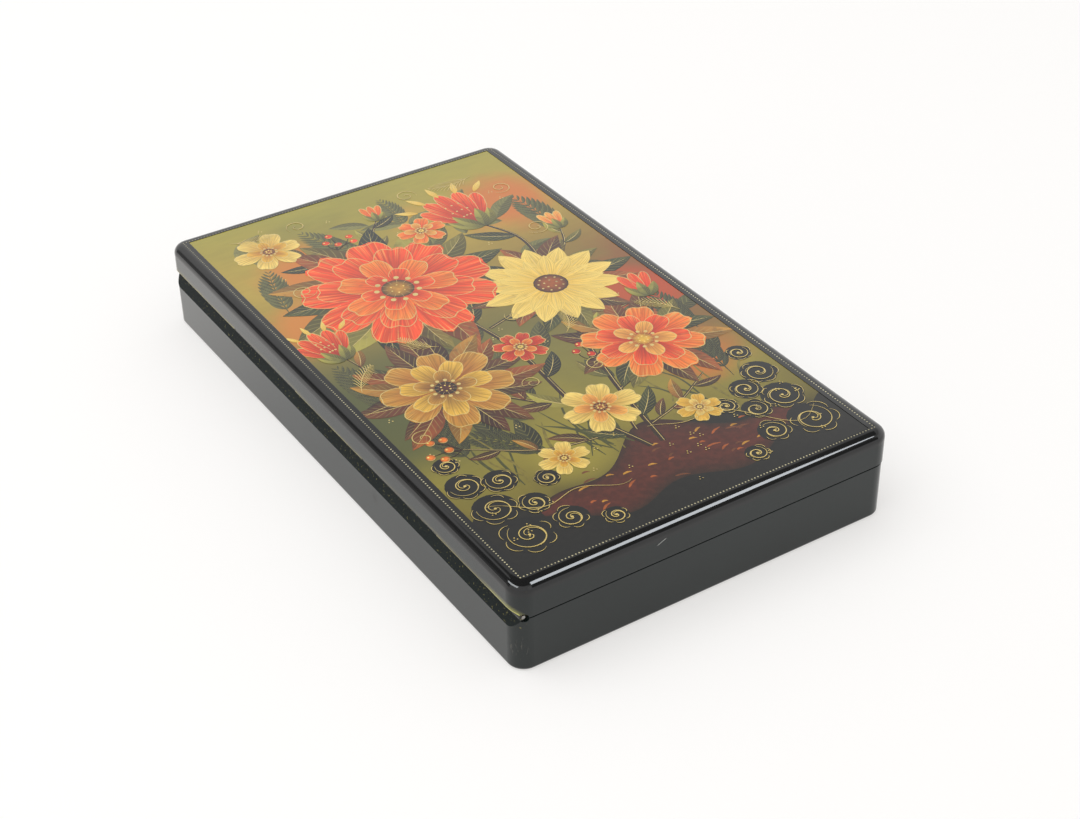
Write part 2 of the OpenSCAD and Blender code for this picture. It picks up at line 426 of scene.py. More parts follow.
def lid_wall_lacquer():
    """The lid's sides: red inside, and worn to the olive ground along the edge over its own knuckles."""
    look = Lacquer("lid_wall_lacquer", 2.0)
    look.cover_all(1.0)
    # The bevel runs down to the hinge's axis, so its edge dips where the corner rounds inwards
    slope = (LID_BEVEL_TOP - PARTING) / (HALF_WIDTH - HINGE_X)
    above = look.minus(look.z, look.linear(look.x, -slope, LID_BEVEL_TOP + 0.12 - slope * HALF_WIDTH))
    hinge_side = look.fall(look.x, 0.2 - HINGE_X, 0.3 - HINGE_X)
    # A thin worn line over the lid's knuckles, a broad faint one along the whole edge, and specks below
    first = look.fall(look.y, FIRST_KNUCKLE_END - 0.2, FIRST_KNUCKLE_END + 0.2)
    last = look.step(look.y, LAST_KNUCKLE_START - 0.2, LAST_KNUCKLE_START + 0.2)
    over_knuckles = look.most(first, last, look.band(look.y, *MIDDLE_KNUCKLE, 0.2))
    ragged = look.linear(look.grain(700, 4.0, stretch=(1, 0.25, 1)), 1.2, look.size(above))
    strong = look.times(look.fall(ragged, 0.78, 1.12), over_knuckles)
    patchy = look.step(look.grain(130, 4.0, stretch=(1, 0.3, 1)), 0.35, 0.62, 0.14, 0.50)
    tint = look.times(look.step(above, -0.1, 0.1), look.fall(above, 0.3, 1.7), patchy)
    specks = look.times(look.brass_specks(), look.fall(above, -0.1, 0.05))
    worn = look.times(look.most(strong, tint, specks), hinge_side)
    # A short slanting scratch on the near end
    from_x, from_z = look.minus(look.x, SCRATCH_X), look.minus(look.z, SCRATCH_Z)
    along = look.plus(look.times(from_x, SLANT_COS), look.times(from_z, SLANT_SIN))
    across = look.minus(look.times(from_z, SLANT_COS), look.times(from_x, SLANT_SIN))
    across = look.linear(look.grain(500, 2.0), 0.3, across)
    scratch = look.times(look.band(across, 0.02, 0.24, 0.05), look.band(along, -1.6, 1.6, 0.5))
    scratch = look.times(scratch, look.fall(look.y, -99.5, -99.0))
    chips = look.parting_chips()
    olive = look.mix(look.fall(look.y, -100, -80), FAR_OLIVE, NEAR_OLIVE)
    for share, colour in ((worn, olive), (chips, CHIPPED), (scratch, SCRATCHED)):
        look.cover(share, colour)
    look.dull(look.most(worn, chips, scratch), 0.3)
    return look.finish()


def gold_dots(look, across, line, along, end):
    """Round dots on a line that far from the middle, up to where the other line crosses it."""
    run = look.times(look.minus(look.fraction(look.times(along, 1 / DOT_PITCH)), 0.5), DOT_PITCH)
    squares = look.plus(look.power(look.minus(across, line), 2.0), look.power(run, 2.0))
    wobble = look.linear(look.grain(900, 1.0), -0.12, 0.06)
    distance = look.plus(look.math("SQRT", squares), wobble)
    dot = look.fall(distance, DOT_RADIUS * 0.8, DOT_RADIUS * 1.2)
    return look.times(dot, look.fall(along, end, end + 0.1))


def lid_board_lacquer():
    """The lid's top board: red below, and a line of fine gold dots round the painting on top."""
    look = Lacquer("lid_board_lacquer")
    look.cover_all(look.fall(look.z, LID_BOARD_LOW + 0.02, LID_BOARD_LOW + 0.06), blacks=TOP_BLACKS)
    far_x, far_y = look.size(look.x), look.size(look.y)
    # The real lid is crowned a little: its last few millimetres fall away to the edge
    fall_x = look.step(far_x, 53.0, 57.5, 0.0, -0.09)
    fall_y = look.step(far_y, 94.0, 98.5, 0.0, -0.075)
    look.swell(look.plus(fall_x, fall_y))
    dots = look.most(
        gold_dots(look, far_x, DOT_LINE_X, far_y, DOT_LINE_Y),
        gold_dots(look, far_y, DOT_LINE_Y, far_x, DOT_LINE_X),
    )
    # Thumbs rub the dots, and they are fainter towards the far end
    on_top = look.step(look.z, LID_TOP - 0.05, LID_TOP - 0.02)
    rubbed = look.step(look.grain(60), 0.25, 0.6, 0.45, 1.0)
    gold = look.times(dots, on_top, rubbed, look.step(look.y, -30, 80, 1.0, 0.5))
    look.cover(gold, DOT_GOLD)
    return look.finish(Metallic=look.times(gold, 0.35))


def red_lacquer():
    look = Lacquer("red_lacquer", 5.0)
    look.colour = look.inside_red()
    return look.finish()


def knuckle_brass():
    """Brass tube under black lacquer that is chipped and rubbed along the top."""
    look = Surface("knuckle_brass")
    chip = look.grain(900, 5.0, 0.65, (1.6, 0.5, 1.6))
    worn = look.step(chip, 0.60, 0.66)
    look.colour = (0.010, 0.011, 0.009)
    look.cover(worn, look.mix(look.grain(300), (0.42, 0.30, 0.09), (0.20, 0.17, 0.07)))
    look.roughness = 0.10
    look.dull(worn, 0.22)
    look.swell(chip, 0.03 * MM)
    return look.finish(Metallic=worn)


def hinge_steel():
    look = Surface("hinge_steel")
    look.colour = (0.42, 0.42, 0.41)
    look.roughness = 0.25
    look.cover(look.step(look.grain(220, 4.0), 0.5, 0.7), (0.16, 0.12, 0.08), 0.25)
    look.swell(look.grain(2500, stretch=(1, 0.05, 1)), 0.01 * MM)
    return look.finish(Metallic=1.0)


# Paints, all under the same clear lacquer

# The ground's colour along the painting, from its near end at 0 to its far end at 1
GROUND_STOPS = (
    (0.00, (0.008, 0.008, 0.005)),
    (0.08, (0.012, 0.011, 0.006)),
    (0.15, (0.160, 0.128, 0.018)),
    (0.26, (0.270, 0.220, 0.026)),
    (0.38, (0.190, 0.165, 0.026)),
    (0.50, (0.150, 0.130, 0.026)),
    (0.63, (0.260, 0.185, 0.024)),
    (0.80, (0.420, 0.290, 0.036)),
    (1.00, (0.330, 0.285, 0.032)),
)

# Airbrushed glows behind the flowers: place, radius, share and colour
GLOWS = (
    ((-30, 60), 20, 0.75, (0.62, 0.150, 0.018)),
    ((-46, 32), 16, 0.70, (0.66, 0.190, 0.022)),
    ((36, 64), 21, 0.70, (0.62, 0.110, 0.016)),
    ((8, 70), 14, 0.50, (0.60, 0.280, 0.030)),
    ((47, -4), 19, 0.75, (0.52, 0.050, 0.008)),
    ((38, -42), 18, 0.80, (0.60, 0.130, 0.016)),
    ((-18, -62), 16, 0.45, (0.40, 0.330, 0.040)),
)

# Tones that mottle the ground, and the uneven coats of petals and leaves
FINE_TONE = (0.13, 0.100, 0.014)
RUSTY_TONE = (0.230, 0.070, 0.018)
GREEN_TONE = (0.075, 0.095, 0.026)
SHADY_TONE = (0.066, 0.078, 0.024)
PETAL_RIM = (0.88, 0.56, 0.14)
PETAL_STAIN = (0.10, 0.03, 0.01)
LEAF_VEIN = (0.42, 0.36, 0.10)
LEAF_STAIN = (0.03, 0.026, 0.010)
WORN_GOLD = (0.09, 0.065, 0.02)


class Paint(Lacquer):
    """Painted strokes under lacquer. The brush is the place along and across the stroke, and its seed."""

    def __init__(self, name):
        super().__init__(name)
        self.colour = self.add("Attribute", {}, out="Color", attribute_name="paint")
        self.brush = self.add("Attribute", {}, out="Vector", attribute_name="brush")


def ground_paint():
    """Sprayed ground from dark at the near end to warm olive at the far end, mottled like old paint."""
    look = Lacquer("ground_paint")
    cloud = look.grain(26, 4.0, 0.55, (1.2, 0.8, 1))
    lump = look.minus(cloud, 0.5)
    fine = look.grain(210, 4.0, 0.6, (0.5, 2.2, 1))
    height = look.linear(lump, 0.22, look.linear(look.y, 1 / (2 * HALF_Y), 0.5))
    look.colour = look.ramp(height, GROUND_STOPS)
    look.cover(look.step(fine, 0.35, 0.7, 0.0, 0.10), FINE_TONE)
    rust = look.times(look.fall(look.size(look.y), 10, 60), look.step(look.x, 5, 50))
    look.cover(look.times(rust, look.step(cloud, 0.3, 0.6, 0.3, 0.85)), RUSTY_TONE)
    green = look.step(look.grain(16), 0.5, 0.68, 0.0, 0.35)
    look.cover(look.times(green, look.fall(look.x, -20, 30)), GREEN_TONE)
    look.cover(look.times(look.band(look.y, -46, 4, 12), look.fall(look.x, -45, 0, 0.85)), SHADY_TONE)
    for middle, radius, share, tone in GLOWS:
        spot = look.linear(lump, 30, look.distance((*middle, LID_TOP)))
        look.cover(look.fall(spot, radius * 0.35, radius * 1.1, share), tone)
    return look.finish()


def petal_paint():
    """Petals: fine hairlines from root to tip, a lighter rim and a slightly uneven coat."""
    look = Paint("petal_paint")
    hair = look.noise(look.scaled(look.brush, 0.9, 7.0, 23.0), 1.6, 4.0, 0.6)
    look.shade(look.step(hair, 0.38, 0.62, 0.72, 1.12))
    comb = look.step(look.noise(look.scaled(look.brush, 0.7, 16.0, 31.0), 1.5, 1.0), 0.56, 0.62)
    look.cover(look.times(comb, look.step(look.split(look.brush)[0], 0.62, 0.97), 0.42), PETAL_RIM)
    look.cover(look.step(look.grain(420), 0.6, 0.75, 0.0, 0.18), PETAL_STAIN)
    return look.finish()


def leaf_paint():
    """Leaves: one half in shade, and fine light veins."""
    look = Paint("leaf_paint")
    u, v, _ = look.split(look.brush)
    look.shade(look.step(v, -0.12, 0.12, 0.55, 1.1))
    comb = look.fraction(look.times(look.linear(look.size(v), -0.22, u), 9.0))
    vein = look.times(look.band(comb, 0.42, 0.56, 0.05), look.fall(look.size(v), 0.75, 0.95), 0.75)
    look.cover(vein, look.mix(0.5, look.colour, LEAF_VEIN))
    look.cover(look.step(look.grain(330), 0.52, 0.7, 0.0, 0.35), LEAF_STAIN)
    return look.finish()


def line_paint():
    """Stems, berries and patches: the brush leaves it a little uneven."""
    look = Paint("line_paint")
    look.shade(look.step(look.grain(520, 4.0), 0.35, 0.7, 0.78, 1.15))
    return look.finish()


def gold_paint():
    """Powdered gold in thin lines, rubbed in places."""
    look = Paint("gold_paint")
    look.cover(look.step(look.grain(130, 4.0), 0.55, 0.72, 0.0, 0.55), WORN_GOLD)
    look.roughness = 0.42
    metallic = look.step(look.grain(2200, 2.0), 0.2, 0.8, 0.25, 0.6)
    return look.finish(Metallic=metallic, Coat_Weight=1.0, Coat_Roughness=0.045)


# Drawing on the lid: a point is (x, y) in millimetres, an angle is degrees from +X towards +Y

GROUND, PETAL, LEAF, LINE, GILT = range(5)
GROUND_TOP = LID_TOP - 0.124
COAT = 0.002

# The coats of the stems and of loose gilding, and how many gold lines pass before a height comes again
STEM_COAT = 9
GILT_COAT = 58.0
GILT_LEVELS = 23

VERMILION = (0.86, 0.070, 0.007)
SCARLET = (0.66, 0.032, 0.005)
DEEP_RED = (0.30, 0.012, 0.004)
ORANGE = (0.86, 0.200, 0.018)
PEACH = (0.88, 0.400, 0.070)
CREAM = (0.84, 0.620, 0.150)
YELLOW = (0.76, 0.440, 0.045)
OCHRE = (0.50, 0.235, 0.026)
RUST = (0.36, 0.085, 0.014)
MAROON = (0.090, 0.016, 0.008)
BROWN = (0.150, 0.045, 0.014)
UMBER = (0.030, 0.012, 0.006)
INK = (0.006, 0.006, 0.005)
PINE = (0.014, 0.022, 0.010)
MOSS = (0.060, 0.064, 0.014)
OLIVE = (0.200, 0.160, 0.026)
LIME = (0.400, 0.350, 0.055)
GOLD = (0.66, 0.49, 0.13)

# Leaves' colours as (root, tip)
GREENS = ((PINE, MOSS), (MOSS, OLIVE), (OLIVE, LIME), (INK, PINE), (BROWN, OLIVE))
BROWNS = ((UMBER, BROWN), (MAROON, RUST), (BROWN, OCHRE), (UMBER, MAROON), (MAROON, BROWN))


def polar(angle, distance=1.0):
    a = np.radians(angle)
    return distance * np.stack([np.cos(a), np.sin(a)], -1)


def around(middle, angle, distance):
    """The point at that angle and distance from the middle. With arrays, one point for each."""
    return middle + polar(angle, distance)


def blend_colour(a, b, share):
    share = np.asarray(share, float)[..., None]
    return np.multiply(a, 1 - share) + np.multiply(b, share)


def petal_reach(v, notch, bluntness=0.42):
    """How far a petal reaches, from -1 to 1 across it, with a notch in its tip."""
    return np.cos(0.5 * math.pi * v) ** bluntness * (1 - notch * np.exp(-((v / 0.22) ** 2)))


class Painting:
    """Collects flat strokes and makes one mesh of them. A higher coat lies over a lower one."""

    def __init__(self, seed):
        self.rng = random.Random(seed)
        self.places, self.colours, self.brushes = [], [], []
        self.faces, self.kinds = [], []
        self.total = 0
        self.gilt_lines = 0
        self.stems = 0

    def stray(self, most):
        return self.rng.uniform(-most, most)

    def grid(self, points, colour, u, v, kind, coat):
        """An n by m grid of points as one stroke. Colour is one colour or one for each point."""
        points = np.clip(np.asarray(points, float), [-HALF_X, -HALF_Y], [HALF_X, HALF_Y])
        n, m = points.shape[:2]
        height = np.full((n, m, 1), GROUND_TOP + COAT * coat)
        self.places.append(np.concatenate([points, height], -1).reshape(-1, 3))
        self.colours.append(np.broadcast_to(np.asarray(colour, float), (n, m, 3)).reshape(-1, 3))
        seed = np.full((n, m), self.rng.random())
        u, v = np.broadcast_to(u, (n, m)), np.broadcast_to(v, (n, m))
        self.brushes.append(np.stack([u, v, seed], -1).reshape(-1, 3))
        index = self.total + np.arange(n * m).reshape(n, m)
        quads = np.stack([index[:-1, :-1], index[1:, :-1], index[1:, 1:], index[:-1, 1:]], -1)
        quads = quads.reshape(-1, 4)
        # Flat quads are left out, and the others all face upwards
        corner = points.reshape(-1, 2)[quads - self.total]
        area = np.cross(corner[:, 2] - corner[:, 0], corner[:, 3] - corner[:, 1])
        keep = np.abs(area) > 1e-5
        quads, area = quads[keep], area[keep]
        quads[area < 0] = quads[area < 0][:, ::-1]
        self.faces.append(quads)
        self.kinds.append(np.full(len(quads), kind))
        self.total += n * m

    def petal(self, root, angle, length, spread, inner, outer, coat, bluntness=0.42, notch=0.0, wave=0.0):
        """Broad petal that opens like a fan by spread degrees to either side. Gives its rim."""
        u = np.linspace(0, 1, 10)[:, None]
        v = np.linspace(-1, 1, 15)[None, :]
        reach = petal_reach(v, notch, bluntness) * (1 + wave * np.sin(v * 9 + self.rng.random() * 6))
        points = root + (u * reach * length)[..., None] * polar(angle + v * spread + 0 * u)
        self.grid(points, blend_colour(inner, outer, u**1.3 + 0 * v), u, v, PETAL, coat)
        return points[-1, 1:-1]

    def leaf(self, root, angle, length, width, colour, coat, bend=0.0, kind=LEAF, tip=None, fullness=0.85):
        """Pointed leaf that bends by that many degrees from root to tip. Gives its spine."""
        u = np.linspace(0, 1, 15)
        turn = angle + bend * u
        steps = polar(turn[:-1] + 0.5 * np.diff(turn), length / (len(u) - 1))
        spine = root + np.concatenate([[[0, 0]], np.cumsum(steps, 0)])
        half = 0.5 * width * np.sin(math.pi * u**fullness) ** 0.9
        v = np.linspace(-1, 1, 5)
        points = spine[:, None] + polar(turn + 90)[:, None] * (half[:, None] * v)[..., None]
        shade = blend_colour(colour, tip or colour, u)[:, None] + 0 * v[None, :, None]
        self.grid(points, shade, u[:, None], v[None, :], kind, coat)
        return spine

    def smooth(self, points, steps=10):
        """Catmull-Rom curve through the points."""
        p = np.asarray(points, float)
        p = np.concatenate([[2 * p[0] - p[1]], p, [2 * p[-1] - p[-2]]])
        out = []
        for i in range(1, len(p) - 2):
            t = np.linspace(0, 1, steps, endpoint=i == len(p) - 3)[:, None]
            a, b, c, d = p[i - 1 : i + 3]
            cubic = (2 * a - 5 * b + 4 * c - d) * t**2 + (3 * b - a - 3 * c + d) * t**3
            out.append(0.5 * (2 * b + (c - a) * t + cubic))
        return np.concatenate(out)

    def line(self, points, width, colour, coat, kind=LINE, taper=(0.35, 0.15)):
        """Ribbon along a curve. It swells between its ends, which are taper times its width."""
        p = np.asarray(points, float)
        along = np.gradient(p, axis=0)
        along /= np.maximum(np.linalg.norm(along, axis=1, keepdims=True), 1e-9)
        side = np.stack([-along[:, 1], along[:, 0]], -1)
        u = np.linspace(0, 1, len(p))
        swell = np.interp(u, [0, 0.25, 0.7, 1], [taper[0], 1, 0.9, taper[1]])
        v = np.array([-1.0, 1.0])
        grid = p[:, None] + side[:, None] * (0.5 * width * swell[:, None] * v)[..., None]
        self.grid(grid, colour, u[:, None], v[None, :], kind, coat)

    def gilt(self, points, width, coat=GILT_COAT, taper=(0.4, 0.3)):
        """Gold line. Each lies at a height of its own, so that lines can cross."""
        self.gilt_lines = (self.gilt_lines + 1) % GILT_LEVELS
        self.line(points, width, GOLD, coat + 0.03 * self.gilt_lines, GILT, taper)

    def disc(self, middle, radius, colour, coat, kind=LINE, rim=None):
        """Round patch. With a rim's colour, it goes over to that."""
        u = np.linspace(0, 1, 4)[:, None]
        turn = np.linspace(0, 360, 19)[None, :]
        points = middle + polar(turn + 0 * u) * u[..., None] * radius
        shade = blend_colour(colour, rim or colour, u**2 + 0 * turn)
        self.grid(points, shade, u, turn / 360, kind, coat)

    def spiral(self, middle, start, radius, turns, width):
        """Gold scroll from its open end in to its eye. Negative turns run clockwise."""
        t = np.linspace(0, 1, int(26 * abs(turns)) + 8)
        eye = 0.12
        reach = radius * ((1 - t) ** 0.85 * (1 - eye) + eye)
        self.gilt(around(middle, start + 360 * turns * t, reach[:, None]), width, taper=(0.3, 0.8))

    def dots(self, middle, radius, spread, coat=GILT_COAT + 0.5):
        """Three small gold dots."""
        for turn in (90, 210, 330):
            self.disc(around(middle, turn, spread), radius, GOLD, coat, GILT)

    def mesh(self, name):
        data = bpy.data.meshes.new(name)
        places = np.concatenate(self.places) * MM
        data.from_pydata(places.tolist(), [], np.concatenate(self.faces).tolist())
        colours = np.concatenate(self.colours)
        colours = np.concatenate([colours, np.ones((len(colours), 1))], -1)
        paint = data.attributes.new("paint", "FLOAT_COLOR", "POINT")
        paint.data.foreach_set("color", colours.astype(np.float32).ravel())
        brush = data.attributes.new("brush", "FLOAT_VECTOR", "POINT")
        brush.data.foreach_set("vector", np.concatenate(self.brushes).astype(np.float32).ravel())
        for make in (ground_paint, petal_paint, leaf_paint, line_paint, gold_paint):
            data.materials.append(make())
        data.polygons.foreach_set("material_index", np.concatenate(self.kinds).astype(np.int32))
        data.update()
        return data


# The motifs


def bloom(art, middle, radius, rings, heart, coat, turn=0.0):
    """Open flower. RED_RINGS and the like say what a ring is, and a heart is its two colours."""
    v = np.linspace(-0.8, 0.8, 15)
    for number, (count, share, spread, inner, outer, notch) in enumerate(rings):
        for k in range(count):
            angle = turn + 360 * k / count + number * 19 + art.stray(3)
            reach = radius * share * art.rng.uniform(0.93, 1.05)
            lift = coat + 0.35 * (k % 3) + 0.02 * k
            art.petal(middle, angle, reach, spread, inner, outer, lift, notch=notch, wave=0.02)
            edge = 0.985 * reach * petal_reach(v, notch)
            rim = around(middle, angle + v * spread, edge[:, None])
            art.line(rim, 0.26, GOLD, lift + 0.25, GILT, (0.5, 0.5))
        coat += 2.0
    art.disc(middle, radius * 0.16, heart[0], coat, rim=heart[1])
    for angle in turn + 360 * np.arange(11) / 11:
        spot = around(middle, angle, radius * 0.205)
        art.disc(spot, radius * 0.022 + 0.14, GOLD, coat + 0.8, GILT)
        art.gilt([around(middle, angle, radius * 0.1), spot], 0.2, coat + 0.7)
    for k in range(6):
        art.disc(around(middle, 60 * k + 11, radius * 0.07), 0.28, CREAM, coat + 0.9)


def small_bloom(art, middle, radius, outer_ring, inner_ring, heart, coat, petals=6, spread=33):
    """Flower of two rings, each in its own two colours."""
    rings = ((petals, 1.0, spread, *outer_ring, 0.1), (5, 0.6, 33, *inner_ring, 0))
    bloom(art, middle, radius, rings, (heart, UMBER), coat)


def daisy(art, middle, radius, colours, heart, coat):
    """Flower of narrow pointed petals in two rings."""
    count = 14
    for ring, share in ((0, 1.0), (1, 0.74)):
        for k in range(count):
            angle = 360 * (k + 0.5 * ring) / count + art.stray(2)
            length = radius * share * art.rng.uniform(0.94, 1.04)
            lift = coat + 2.2 * ring + 0.4 * (k % 3) + 0.02 * k
            shape = {"kind": PETAL, "tip": colours[1], "fullness": 1.5}
            spine = art.leaf(middle, angle, length, length * 0.33, colours[0], lift, **shape)
            art.gilt(spine[3:12], 0.2, lift + 0.25)
    art.disc(middle, radius * 0.24, heart[0], coat + 4.6, rim=heart[1])
    for share, number in ((0.17, 9), (0.09, 5)):
        for k in range(number):
            art.disc(around(middle, 360 * k / number, radius * share), 0.33, GOLD, coat + 5.2, GILT)


def tulip(art, root, angle, length, coat):
    """Closed flower seen from the side, with a pomegranate's crown."""
    for turn, share in ((-30, 0.86), (30, 0.86), (-15, 0.95), (15, 0.95), (0, 1.0)):
        spread = 17 if turn else 15
        rim = art.petal(root, angle + turn, length * share, spread, DEEP_RED, VERMILION, coat, bluntness=0.6)
        art.gilt(rim, 0.26, coat + 0.3)
        coat += 0.6
    for number, turn in enumerate((-40, -20, 0, 20, 40)):
        tip = around(root, angle + turn * 0.75, length * (0.93 - abs(turn) * 0.001))
        lift = coat + 0.06 * number
        art.leaf(tip, angle + turn * 1.3, length * 0.30, length * 0.085, YELLOW, lift, tip=CREAM, kind=PETAL)
    base = around(root, angle, -length * 0.02)
    for number, turn in enumerate((-64, 64, -34, 34)):
        lift = coat + 0.6 + 0.06 * number
        art.leaf(base, angle + turn, length * 0.48, length * 0.17, MOSS, lift, bend=-turn * 0.7, tip=LIME)
    for row, number in ((0.34, 3), (0.50, 4), (0.66, 3)):
        for k in range(number):
            side = (k - (number - 1) / 2) * 9
            art.disc(around(root, angle + side, length * row), 0.34, GOLD, coat + 1.2, GILT)


def bud(art, root, angle, length, outer, coat):
    for turn in (-17, 17, 0):
        rim = art.petal(root, angle + turn, length, 17, SCARLET, outer, coat, bluntness=0.7)
        art.gilt(rim, 0.24, coat + 0.3)
        coat += 0.6
    for number, turn in enumerate((-48, 48, 0)):
        lift = coat + 0.5 + 0.06 * number
        art.leaf(root, angle + turn, length * 0.62, length * 0.24, MOSS, lift, bend=-turn * 0.6, tip=LIME)


def stem(art, points, width):
    """Dark stem with a gold light on it. Gives its path."""
    art.stems += 1
    coat = STEM_COAT + 0.07 * art.stems
    path = art.smooth(points, 12)
    art.line(path, width, UMBER, coat, taper=(1.0, 0.45))
    art.gilt(path + np.array([0.18 * width, 0]), 0.2, coat + 0.5, (0.8, 0.4))
    return path


def leaves_along(art, path, places, length, colours, coat, side=1):
    """Leaves to either side of a stem, in turn."""
    for number, share in enumerate(places):
        i = min(int(share * (len(path) - 1)), len(path) - 2)
        ahead = path[i + 1] - path[i]
        heading = math.degrees(math.atan2(ahead[1], ahead[0]))
        size = length * art.rng.uniform(0.8, 1.15)
        low, high = colours[number % len(colours)]
        lift = coat + 0.3 * number
        angle = heading + side * 48 * art.rng.uniform(0.85, 1.15)
        bend = -side * art.rng.uniform(18, 40)
        spine = art.leaf(path[i], angle, size, size * art.rng.uniform(0.30, 0.38), low, lift, bend, tip=high)
        art.gilt(spine[1:13], 0.2, lift + 0.15)
        side = -side


def fern(art, root, angle, length, colour, coat, bend, gilt=False):
    """Small sprig of narrow strokes to both sides of a curved stalk."""
    u = np.linspace(0, 1, 13)
    turn = angle + bend * u
    spine = root + np.concatenate([[[0, 0]], np.cumsum(polar(turn[:-1], length / 12), 0)])
    if gilt:
        art.gilt(spine, 0.28, coat)
    else:
        art.line(spine, 0.5, colour, coat)
    for k in range(2, 13):
        size = length * 0.30 * math.sin(math.pi * (k / 13) ** 0.7) + 0.6
        for side in (-1, 1):
            if gilt:
                tip = around(spine[k], turn[k] + side * 38, size)
                middle = (spine[k] + tip) / 2 + polar(turn[k], 0.3)
                art.gilt(art.smooth([spine[k], middle, tip], 4), 0.24, coat)
            else:
                lift = coat + 0.2 + 0.06 * k + 0.03 * side
                art.leaf(spine[k], turn[k] + side * 42, size, size * 0.24, colour, lift, -side * 18)


def berries(art, root, angle, coat, colours, size):
    """Spray of five berries on thin stalks."""
    for k in range(5):
        turn = angle + (k - 2) * 21
        end = around(root, turn, 6.5 + 3.4 * math.sin(k * 2.4) + art.stray(0.5))
        mid = (root + end) / 2 + polar(turn + 90, 0.7 * (-1) ** k)
        art.line(art.smooth([root, mid, end], 6), 0.35, UMBER, coat + 0.05 * k)
        art.disc(end, size, colours[0], coat + 1 + 0.06 * k, rim=colours[1])
        art.disc(end + np.array([-0.35, 0.4]) * size, size * 0.24, CREAM, coat + 1.6)
        art.gilt(around(end, np.linspace(200, 340, 9), size * 0.9), 0.2, coat + 1.6)


def scroll(art, middle, radius, start, sign, coat):
    """Dark curl with a gold volute, as borders of such boxes have them. A sign of -1 turns it over."""
    art.disc(middle, radius * 1.02, INK, coat)
    for k in range(5):
        turn = start - sign * (20 + 58 * k)
        lobe = around(middle, turn, radius * 0.62)
        art.disc(lobe, radius * (0.52 - 0.04 * k), INK, coat + 0.05 * (k + 1))
        art.gilt(around(lobe, np.linspace(turn - 62, turn + 62, 12), radius * (0.47 - 0.04 * k)), 0.2)
    art.spiral(middle, start, radius * 0.82, -1.6 * sign, 0.30)
    art.spiral(middle, start + 150, radius * 0.7, -0.72 * sign, 0.22)
    art.disc(middle, 0.42, GOLD, GILT_COAT + 1.5, GILT)


# The painting, from its ground up


def draw_ground(art):
    """The ground and the sides of the painted layer, down to the lid's board."""
    x = np.linspace(-HALF_X, HALF_X, 3)
    y = np.linspace(-HALF_Y, HALF_Y, 3)
    points = np.stack(np.meshgrid(x, y, indexing="ij"), -1)
    art.grid(points, INK, 0.0, 0.0, GROUND, 0.0)
    first = art.total
    corners = [(-HALF_X, -HALF_Y), (HALF_X, -HALF_Y), (HALF_X, HALF_Y), (-HALF_X, HALF_Y)]
    art.places.append(np.array([(*corner, z) for z in (PAINT_LOW, GROUND_TOP) for corner in corners]))
    art.colours.append(np.tile(np.array(INK), (8, 1)))
    art.brushes.append(np.zeros((8, 3)))
    walls = [(k, (k + 1) % 4, 4 + (k + 1) % 4, 4 + k) for k in range(4)] + [(3, 2, 1, 0)]
    art.faces.append(np.array(walls) + first)
    art.kinds.append(np.full(5, GROUND))
    art.total += 8


# The scrolls at either near corner: distance from the middle, y, radius and where the curl starts
SCROLLS = (
    (45, -85, 7.0, 60),
    (32, -84, 4.6, 110),
    (46, -71, 6.0, 20),
    (36, -73, 4.2, 80),
    (23, -88, 3.4, 60),
    (47, -58, 5.2, 0),
    (38, -62, 4.6, 40),
    (29, -67, 3.4, 100),
    (48, -48, 3.6, 30),
)


def draw_mound(art):
    """The dark earth at the near end, with maroon light on it and scrolls at its corners."""
    x = np.linspace(-HALF_X, HALF_X, 73)
    crest = -76 + 5 * np.sin(x / 9.5) + 3.2 * np.sin(x / 4.1 + 1) + 9 * np.exp(-(((x - 8) / 24) ** 2))
    share = np.linspace(0, 1, 8)
    rows = [np.stack([x, -HALF_Y + (crest + HALF_Y) * s], -1) for s in share]
    tone = blend_colour(INK, (0.010, 0.009, 0.006), share[:, None] + 0 * x)
    art.grid(np.stack(rows), tone, 0, 0, LINE, 1.0)
    glow = -73 + 3 * np.sin(x / 6 + 0.6) + 10 * np.exp(-(((x - 6) / 20) ** 2))
    inside = np.abs(x - 4) < 42
    base = -89.0 + 3 * np.cos(x / 6)
    thin = np.clip(1 - ((x - 4) / 42) ** 2, 0, 1) ** 0.5
    middle = (glow + base) / 2
    rows = [np.stack([x, middle + (s - 0.5) * (glow - base) * thin], -1)[inside] for s in share]
    tone = blend_colour(UMBER, MAROON, np.sin(math.pi * share)[:, None] ** 0.6 + 0 * x[inside])
    art.grid(np.stack(rows), tone, 0, 0, LINE, 2.0)
    for k in range(36):
        start = np.array([art.rng.uniform(-26, 34), art.rng.uniform(-86, -70)])
        turn = art.rng.uniform(-20, 30)
        end = around(start, turn, art.rng.uniform(1.6, 4.2))
        curve = art.smooth([start, (start + end) / 2 + [0, 0.35], end], 5)
        art.line(curve, 0.7, (RUST, OCHRE, BROWN)[k % 3], 3.0 + 0.05 * k)
    for part in (slice(4, 30), slice(40, 70)):
        art.gilt(np.stack([x, crest - 0.4], -1)[part], 0.22)
    for sign in (-1, 1):
        for number, (out, y, radius, start) in enumerate(SCROLLS):
            place = (sign * out + art.stray(1.2), y + art.stray(1.2))
            scroll(art, place, radius, start if sign > 0 else 180 - start, sign, 6.0 + 0.1 * number)
    for _ in range(34):
        art.dots((art.stray(50), art.rng.uniform(-91, -60)), 0.20, 0.55)


